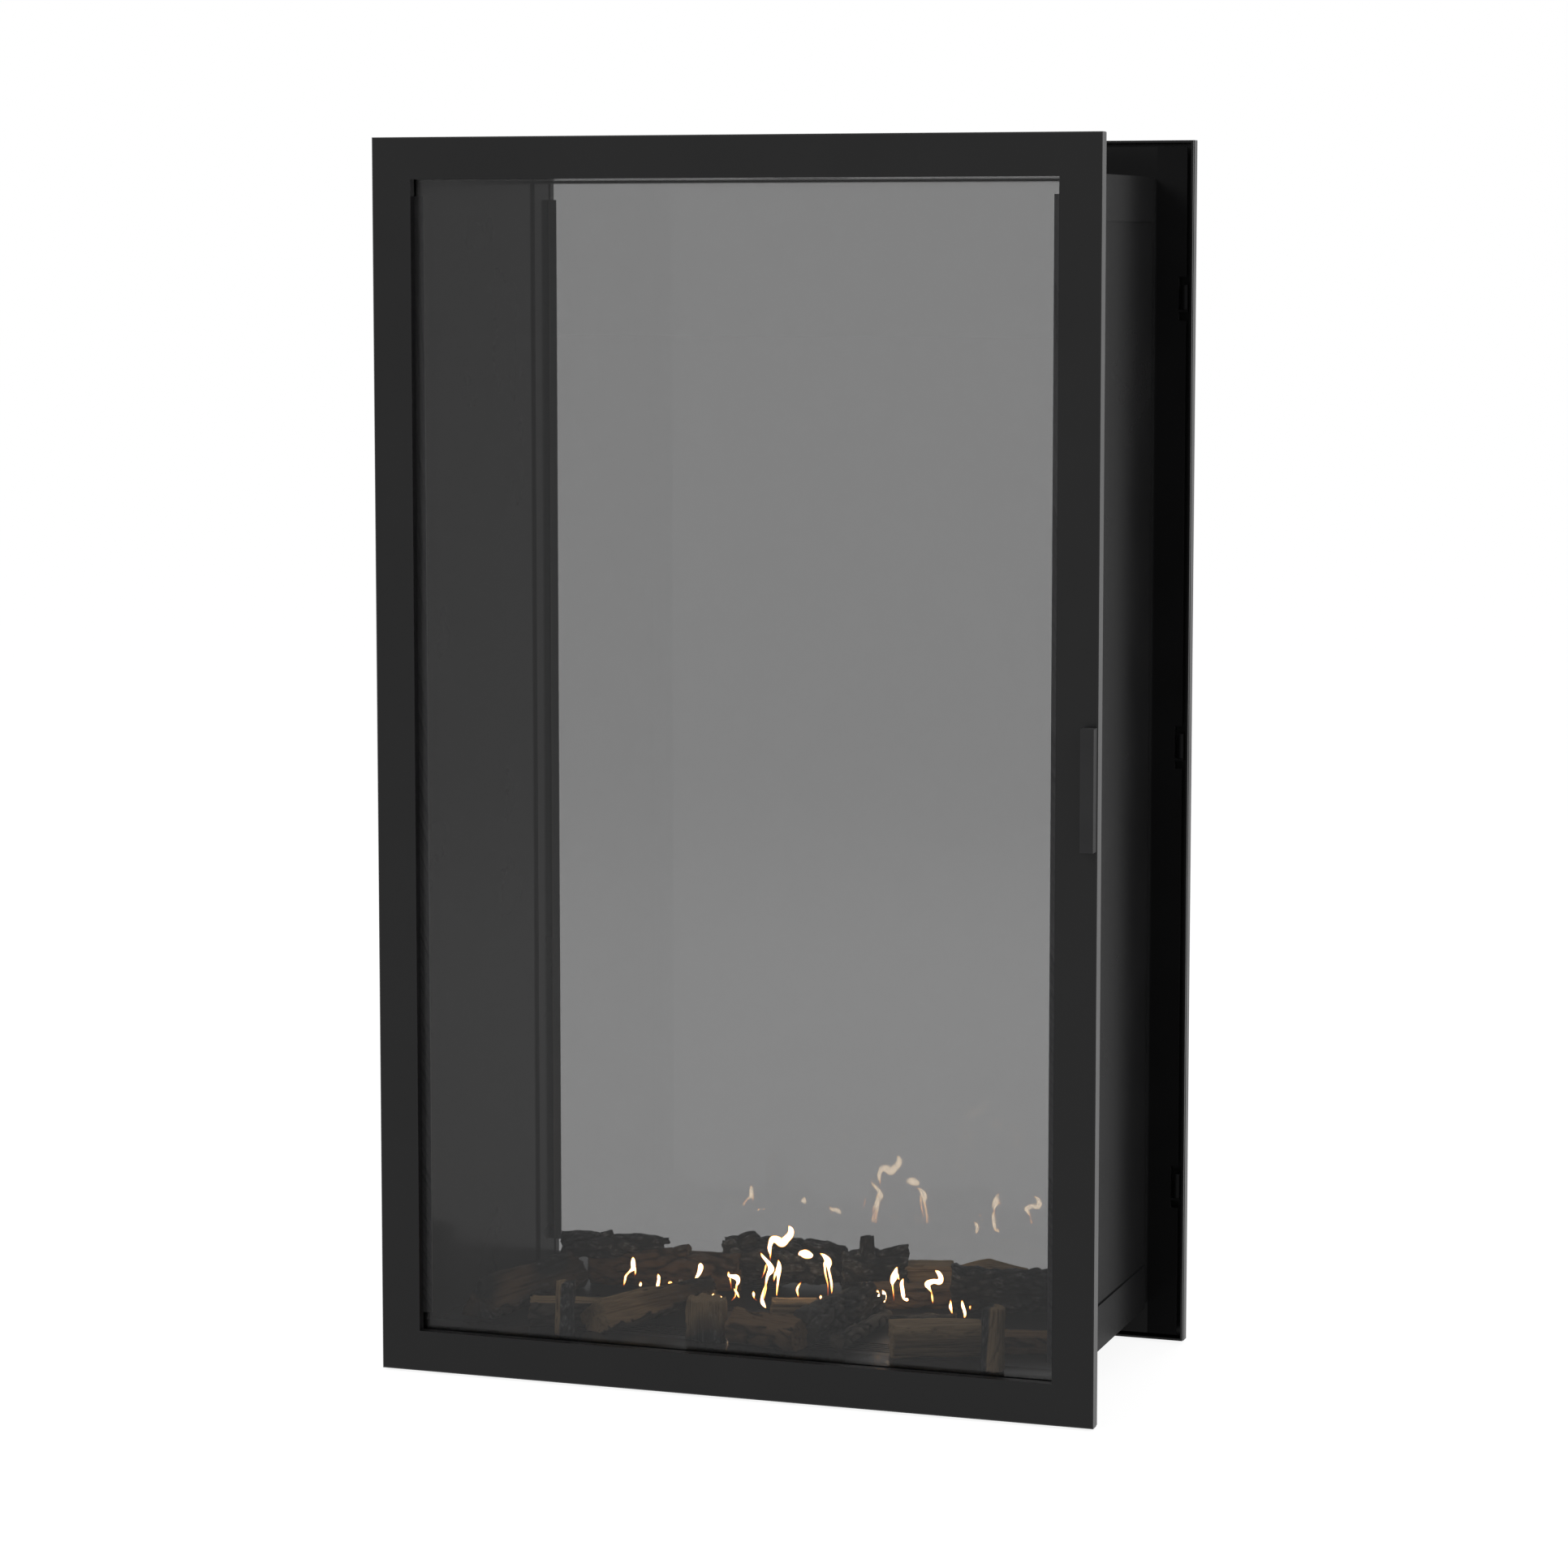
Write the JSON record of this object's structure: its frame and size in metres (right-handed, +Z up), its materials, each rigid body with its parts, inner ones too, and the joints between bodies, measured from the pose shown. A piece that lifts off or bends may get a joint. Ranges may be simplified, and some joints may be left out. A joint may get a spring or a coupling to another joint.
{
  "type": "double-sided fireplace",
  "caption": "Built-in see-through gas fireplace: tall steel firebox with a ceramic log fire, closed front and rear by hinged tinted-glass doors in flat black frames.",
  "frame": {"origin": "on the floor under the middle of the firebox", "axes": "+Z up, -Y out of the front door, +X to the right seen from the front"},
  "size_m": [0.9, 0.494, 1.503],
  "materials": {
    "door_paint": "fine satin powder coat",
    "shell_paint": "heat-proof satin black",
    "tinted_glass": "grey-tinted ceramic glass",
    "glass_fibre": "woven glass fibre",
    "bright_steel": "zinc plated",
    "magnet": "coated ferrite",
    "foot_steel": "zinc plated",
    "gas_brass": "plain",
    "hearth_steel": "heat-proof matt black",
    "split_wood": "moulded ceramic fibre, split wood",
    "brown_bark": "moulded ceramic fibre, brown bark",
    "charred_bark": "moulded ceramic fibre, charred bark"
  },
  "bodies": {
    "firebox": {"burner": "hearth_steel", "centre_brown_log": "brown_bark", "charred_branches": "charred_bark", "floor_channel": "shell_paint", "flue_spigot": "bright_steel", "foot_locknuts": "bright_steel", "front_catch_magnets": "magnet", "front_collar": "shell_paint", "front_fixed_frame": "shell_paint", "front_hearth_plate": "hearth_steel", "front_hinge_pins": "shell_paint", "front_left_log": "split_wood", "front_right_log": "split_wood", "gas_inlet": "gas_brass", "left_long_log": "brown_bark", "left_short_log": "split_wood", "left_side_wall": "shell_paint", "levelling_feet": "foot_steel", "light_blocks": "split_wood", "pilot_igniter": "bright_steel", "rear_brown_log": "brown_bark", "rear_catch_magnets": "magnet", "rear_centre_log": "charred_bark", "rear_charred_log": "charred_bark", "rear_collar": "shell_paint", "rear_fixed_frame": "shell_paint", "rear_hearth_plate": "hearth_steel", "rear_hinge_pins": "shell_paint", "rear_slab": "brown_bark", "right_charred_log": "charred_bark", "right_side_wall": "shell_paint", "right_slab": "brown_bark", "roof_channel": "shell_paint", "split_uprights": "split_wood", "stump_log": "split_wood", "thick_dark_log": "charred_bark", "top_bark_log": "charred_bark"},
    "front_door": {"front_catch_strikes": "bright_steel", "front_door_glass": "tinted_glass", "front_door_handle": "door_paint", "front_door_leaf": "door_paint", "front_glass_retainers": "shell_paint", "front_glass_tape": "glass_fibre", "front_handle_screws": "bright_steel", "front_hinge_knuckles": "shell_paint", "front_retainer_screws": "bright_steel", "front_rope_seal": "glass_fibre"},
    "rear_door": {"rear_catch_strikes": "bright_steel", "rear_door_glass": "tinted_glass", "rear_door_handle": "door_paint", "rear_door_leaf": "door_paint", "rear_glass_retainers": "shell_paint", "rear_glass_tape": "glass_fibre", "rear_handle_screws": "bright_steel", "rear_hinge_knuckles": "shell_paint", "rear_retainer_screws": "bright_steel", "rear_rope_seal": "glass_fibre"}
  },
  "joints": [
    {"name": "front_door_hinge", "type": "hinge", "parent": "firebox", "child": "front_door", "pos_m": [-0.44, -0.214, 0.753], "axis": [0, 0, -1], "range_deg": [0, 110]},
    {"name": "rear_door_hinge", "type": "hinge", "parent": "firebox", "child": "rear_door", "pos_m": [0.44, 0.214, 0.753], "axis": [0, 0, -1], "range_deg": [0, 110]}
  ]
}
